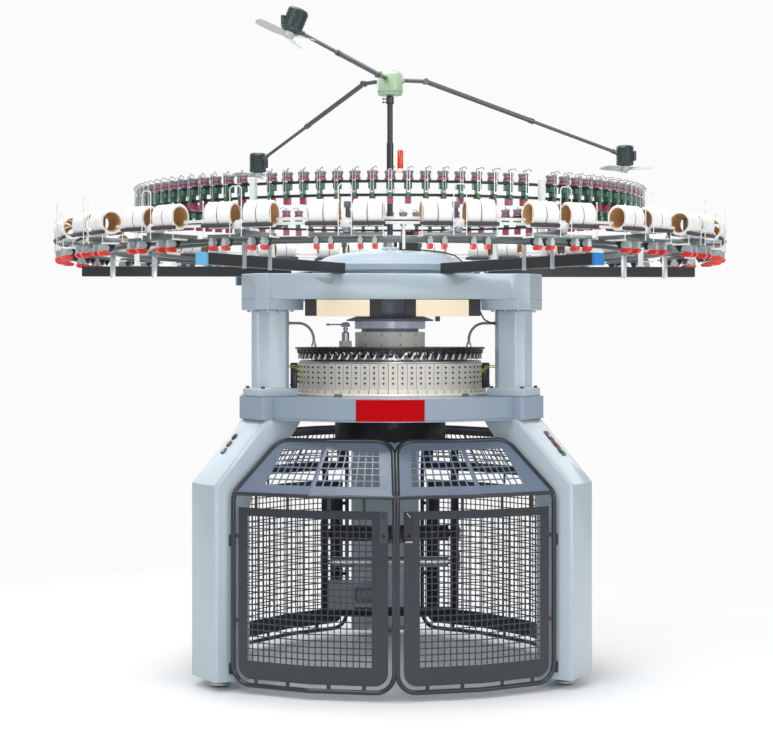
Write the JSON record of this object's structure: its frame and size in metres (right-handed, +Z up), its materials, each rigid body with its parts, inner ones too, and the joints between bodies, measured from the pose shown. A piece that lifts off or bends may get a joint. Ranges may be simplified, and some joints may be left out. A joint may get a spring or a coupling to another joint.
{
  "type": "circular knitting machine",
  "caption": "Floor-standing circular knitting machine: legs, bed, cam ring and dial under a crown, mesh doors round the take-down, and a yarn creel ring with roller units and a fan mast above.",
  "frame": {"origin": "on the floor, on the needle cylinder's axis, which is the middle of the machine's outline in plan", "axes": "+Z up, the front with the meeting doors and the displays faces -Y, +X to the right when facing the front"},
  "size_m": [3.2184, 3.2312, 2.976],
  "materials": {
    "leg_paint": "satin",
    "bed_paint": "satin",
    "crown_paint": "satin",
    "foot_steel": "matte",
    "column_paint": "satin",
    "dome_paint": "satin",
    "display_black": "matte",
    "gear_steel": "machined",
    "cylinder_steel": "ground",
    "ring_cream": "satin",
    "cam_metal": "machined",
    "plate_metal": "turned",
    "guide_ceramic": "glazed",
    "dial_steel": "ground",
    "drum_metal": "turned",
    "hub_paint": "satin",
    "adjuster_steel": "machined",
    "handle_black": "gloss",
    "housing_grey": "satin",
    "hose_dark": "matte",
    "frame_steel": "satin",
    "roller_rubber": "matte",
    "roller_steel": "ground",
    "gearbox_paint": "satin",
    "guard_slate": "satin",
    "hinge_steel": "satin",
    "latch_black": "matte",
    "button_silver": "polished",
    "button_red": "gloss",
    "button_green": "gloss",
    "button_black": "gloss",
    "arm_black": "satin",
    "strap_silver": "satin",
    "ring_metal": "satin",
    "feeder_ring_metal": "satin",
    "feeder_green": "gloss",
    "reel_grey": "gloss",
    "unit_dark": "satin",
    "gear_box_white": "satin",
    "drive_dark": "satin",
    "yarn_white": "wound yarn",
    "sensor_clear": "gloss",
    "mast_steel": "polished",
    "hub_green": "satin",
    "motor_green": "satin",
    "blade_white": "gloss",
    "lamp_red": "gloss"
  },
  "bodies": {
    "machine_frame": {"leg_right": "leg_paint", "leg_rear": "leg_paint", "leg_left": "leg_paint", "levelling_feet": "foot_steel", "bed_plate": "bed_paint", "columns": "column_paint", "crown": "crown_paint", "crown_dome": "dome_paint", "display_boxes": "display_black", "cam_base_ring": "ring_cream", "cam_boxes": "cam_metal", "guide_plate": "plate_metal", "yarn_guides": "guide_ceramic", "dial_drum": "drum_metal", "dial_support": "hub_paint", "dial_adjuster": "adjuster_steel", "cam_side_blocks": "housing_grey", "oil_hoses": "hose_dark", "guard_hinges": "hinge_steel", "creel_arms": "arm_black", "ring_hangers": "strap_silver", "creel_rings": "ring_metal", "feeder_rings": "feeder_ring_metal", "feeder_bodies": "feeder_green", "feeder_reels": "reel_grey", "unit_frames": "unit_dark", "unit_gear_boxes": "gear_box_white", "drive_rollers": "drive_dark", "yarn_rolls": "yarn_white", "stop_sensors": "sensor_clear", "mast": "mast_steel", "signal_lamp": "lamp_red"},
    "cylinder_drive": {"needle_cylinder": "cylinder_steel", "drive_gear": "gear_steel", "takedown_frame": "frame_steel", "takedown_gearbox": "gearbox_paint"},
    "needle_dial": {"dial": "dial_steel"},
    "nip_roller_front": {"takedown_roller_front": "roller_rubber"},
    "nip_roller_rear": {"takedown_roller_rear": "roller_rubber"},
    "cloth_beam": {"cloth_roller": "roller_steel"},
    "door_front_right": {"guard_front_right": "guard_slate"},
    "door_front_left": {"guard_front_left": "guard_slate"},
    "door_rear_right": {"guard_rear_right": "guard_slate"},
    "door_rear_left": {"guard_rear_left": "guard_slate"},
    "paddle_right": {"latch_right": "latch_black"},
    "paddle_left": {"latch_left": "latch_black"},
    "handle": {"adjuster_handle": "handle_black"},
    "fan_head": {"fan_hub": "hub_green"},
    "push_left_top": {"button_left_top": "button_black"},
    "push_left_middle": {"button_left_middle": "button_red"},
    "push_left_bottom": {"button_left_bottom": "button_silver"},
    "push_right_top": {"button_right_top": "button_silver"},
    "push_right_middle": {"button_right_middle": "button_red"},
    "push_right_bottom": {"button_right_bottom": "button_green"},
    "arm_front": {"fan_arm_front": "motor_green"},
    "blades_front": {"fan_blades_front": "blade_white"},
    "arm_right": {"fan_arm_right": "motor_green"},
    "blades_right": {"fan_blades_right": "blade_white"},
    "arm_rear": {"fan_arm_rear": "motor_green"},
    "blades_rear": {"fan_blades_rear": "blade_white"}
  },
  "joints": [
    {"name": "cylinder_spin", "type": "hinge", "parent": "machine_frame", "child": "cylinder_drive", "pos_m": [0, 0, 1.385], "axis": [0, 0, 1], "continuous": true},
    {"name": "dial_spin", "type": "hinge", "parent": "machine_frame", "child": "needle_dial", "pos_m": [0, 0, 1.5], "axis": [0, 0, 1], "continuous": true},
    {"name": "nip_front_spin", "type": "hinge", "parent": "cylinder_drive", "child": "nip_roller_front", "pos_m": [0, -0.0355, 0.64], "axis": [1, 0, 0], "continuous": true},
    {"name": "nip_rear_spin", "type": "hinge", "parent": "cylinder_drive", "child": "nip_roller_rear", "pos_m": [0, 0.0355, 0.64], "axis": [1, 0, 0], "continuous": true},
    {"name": "cloth_roller_spin", "type": "hinge", "parent": "cylinder_drive", "child": "cloth_beam", "pos_m": [0, 0, 0.5], "axis": [1, 0, 0], "continuous": true},
    {"name": "door_front_right_swing", "type": "hinge", "parent": "machine_frame", "child": "door_front_right", "pos_m": [0.72594, -0.59464, 0.5], "axis": [0, 0, 1], "range_deg": [0, 100]},
    {"name": "door_front_left_swing", "type": "hinge", "parent": "machine_frame", "child": "door_front_left", "pos_m": [-0.72594, -0.59464, 0.5], "axis": [0, 0, 1], "range_deg": [-100, 0]},
    {"name": "door_rear_right_swing", "type": "hinge", "parent": "machine_frame", "child": "door_rear_right", "pos_m": [0.87794, -0.33136, 0.5], "axis": [0, 0, 1], "range_deg": [-100, 0]},
    {"name": "door_rear_left_swing", "type": "hinge", "parent": "machine_frame", "child": "door_rear_left", "pos_m": [-0.87794, -0.33136, 0.5], "axis": [0, 0, 1], "range_deg": [0, 100]},
    {"name": "latch_right_lift", "type": "hinge", "parent": "door_front_right", "child": "paddle_right", "pos_m": [0.05048, -0.835, 0.828], "axis": [-0.9799, -0.1993, 0], "range_deg": [0, 40], "stiffness_Nm_per_rad": 0.8},
    {"name": "latch_left_lift", "type": "hinge", "parent": "door_front_left", "child": "paddle_left", "pos_m": [-0.05048, -0.835, 0.828], "axis": [-0.9799, 0.1993, 0], "range_deg": [0, 40], "stiffness_Nm_per_rad": 0.8},
    {"name": "press_left_top", "type": "slide", "parent": "machine_frame", "child": "push_left_top", "axis": [0.6436, 0.3716, -0.6691], "range_m": [0, 0.004], "stiffness_N_per_m": 900},
    {"name": "press_left_middle", "type": "slide", "parent": "machine_frame", "child": "push_left_middle", "axis": [0.6436, 0.3716, -0.6691], "range_m": [0, 0.004], "stiffness_N_per_m": 900},
    {"name": "press_left_bottom", "type": "slide", "parent": "machine_frame", "child": "push_left_bottom", "axis": [0.6436, 0.3716, -0.6691], "range_m": [0, 0.004], "stiffness_N_per_m": 900},
    {"name": "press_right_top", "type": "slide", "parent": "machine_frame", "child": "push_right_top", "axis": [-0.6436, 0.3716, -0.6691], "range_m": [0, 0.004], "stiffness_N_per_m": 900},
    {"name": "press_right_middle", "type": "slide", "parent": "machine_frame", "child": "push_right_middle", "axis": [-0.6436, 0.3716, -0.6691], "range_m": [0, 0.004], "stiffness_N_per_m": 900},
    {"name": "press_right_bottom", "type": "slide", "parent": "machine_frame", "child": "push_right_bottom", "axis": [-0.6436, 0.3716, -0.6691], "range_m": [0, 0.004], "stiffness_N_per_m": 900},
    {"name": "handle_turn", "type": "hinge", "parent": "machine_frame", "child": "handle", "pos_m": [-0.21724, -0.06229, 1.655], "axis": [0, 0, 1], "range_deg": [-100, 100]},
    {"name": "fan_head_spin", "type": "hinge", "parent": "machine_frame", "child": "fan_head", "pos_m": [0, 0, 2.83], "axis": [0, 0, 1], "continuous": true},
    {"name": "arm_front_tilt", "type": "hinge", "parent": "fan_head", "child": "arm_front", "pos_m": [-0.06097, -0.16936, 2.847], "axis": [-0.9409, 0.3387, 0], "range_deg": [-15, 5]},
    {"name": "blades_front_spin", "type": "hinge", "parent": "arm_front", "child": "blades_front", "pos_m": [-0.43494, -1.20809, 2.91], "axis": [-0.371, -0.0521, -0.9272], "continuous": true},
    {"name": "arm_right_tilt", "type": "hinge", "parent": "fan_head", "child": "arm_right", "pos_m": [0.17465, 0.04355, 2.847], "axis": [0.2419, -0.9703, 0], "range_deg": [-5, 25]},
    {"name": "blades_right_spin", "type": "hinge", "parent": "arm_right", "child": "blades_right", "pos_m": [1.20026, 0.29926, 2.513], "axis": [0, 0, -1], "continuous": true},
    {"name": "arm_rear_tilt", "type": "hinge", "parent": "fan_head", "child": "arm_rear", "pos_m": [-0.12504, 0.12948, 2.847], "axis": [0.7193, 0.6947, 0], "range_deg": [-5, 35]},
    {"name": "blades_rear_spin", "type": "hinge", "parent": "arm_rear", "child": "blades_rear", "pos_m": [-0.67382, 0.69776, 2.511], "axis": [0, 0, -1], "continuous": true}
  ],
  "couplings": [
    {"joint": "dial_spin", "follows": "cylinder_spin", "ratio": 1},
    {"joint": "nip_rear_spin", "follows": "nip_front_spin", "ratio": -1}
  ]
}
